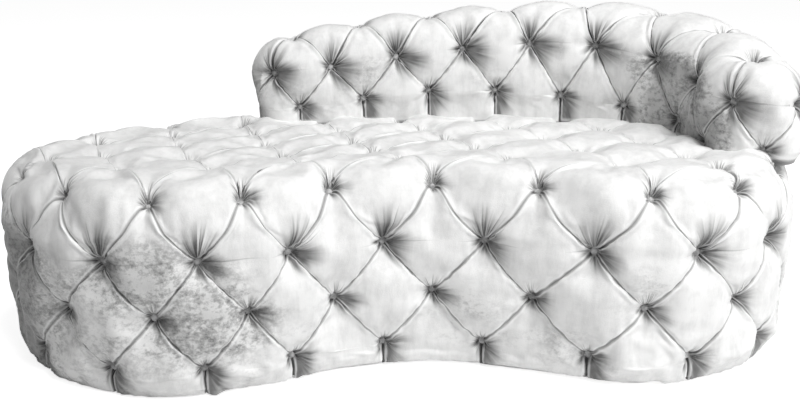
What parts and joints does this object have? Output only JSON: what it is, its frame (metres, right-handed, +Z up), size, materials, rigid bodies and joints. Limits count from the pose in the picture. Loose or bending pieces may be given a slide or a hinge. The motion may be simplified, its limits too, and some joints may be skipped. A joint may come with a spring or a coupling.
{
  "type": "fainting couch",
  "caption": "Kidney-shaped fainting couch, diamond tufted all over, with a low camel-back rest that wraps round one end into a rounded arm.",
  "frame": {"origin": "centre of the bounding box on the floor", "axes": "+X along the couch to its arm end, +Y towards the backrest, +Z up"},
  "size_m": [1.9248, 0.967, 0.7874],
  "materials": {
    "velvet": "crushed velvet, silvery white with a mottled nap",
    "button_velvet": "crushed velvet stretched over a metal button",
    "plywood": "birch plywood, unfinished",
    "timber": "sawn softwood, unfinished",
    "jute": "woven jute webbing",
    "hessian": "open woven jute cloth",
    "foam": "open-cell upholstery foam",
    "dust_cloth": "black spun-bonded cloth",
    "nylon": "moulded nylon",
    "zinc_steel": "bright zinc plate"
  },
  "bodies": {
    "root": {"glides": "nylon", "dust_cover": "dust_cloth", "bottom_ring": "plywood", "posts": "timber", "corner_blocks": "timber", "deck_ring": "plywood", "cross_rails": "timber", "front_panel": "plywood", "right_panel": "plywood", "back_panel": "plywood", "left_panel": "plywood", "long_webbing": "jute", "cross_webbing": "jute", "deck_cloth": "hessian", "side_foam": "foam", "seat_foam": "foam", "side_cover": "velvet", "seat_cover": "velvet", "rim_buttons": "button_velvet", "upper_side_buttons": "button_velvet", "middle_side_buttons": "button_velvet", "lower_side_buttons": "button_velvet", "seat_buttons": "button_velvet", "back_sill": "plywood", "uprights": "timber", "top_rail": "timber", "inner_back_panel": "plywood", "arm_end_panel": "plywood", "outer_back_panel": "plywood", "head_end_panel": "plywood", "back_foam": "foam", "back_cover": "velvet", "upper_back_buttons": "button_velvet", "lower_back_buttons": "button_velvet", "crest_buttons": "button_velvet", "bolts": "zinc_steel", "washers": "zinc_steel", "nuts": "zinc_steel"}
  },
  "joints": []
}
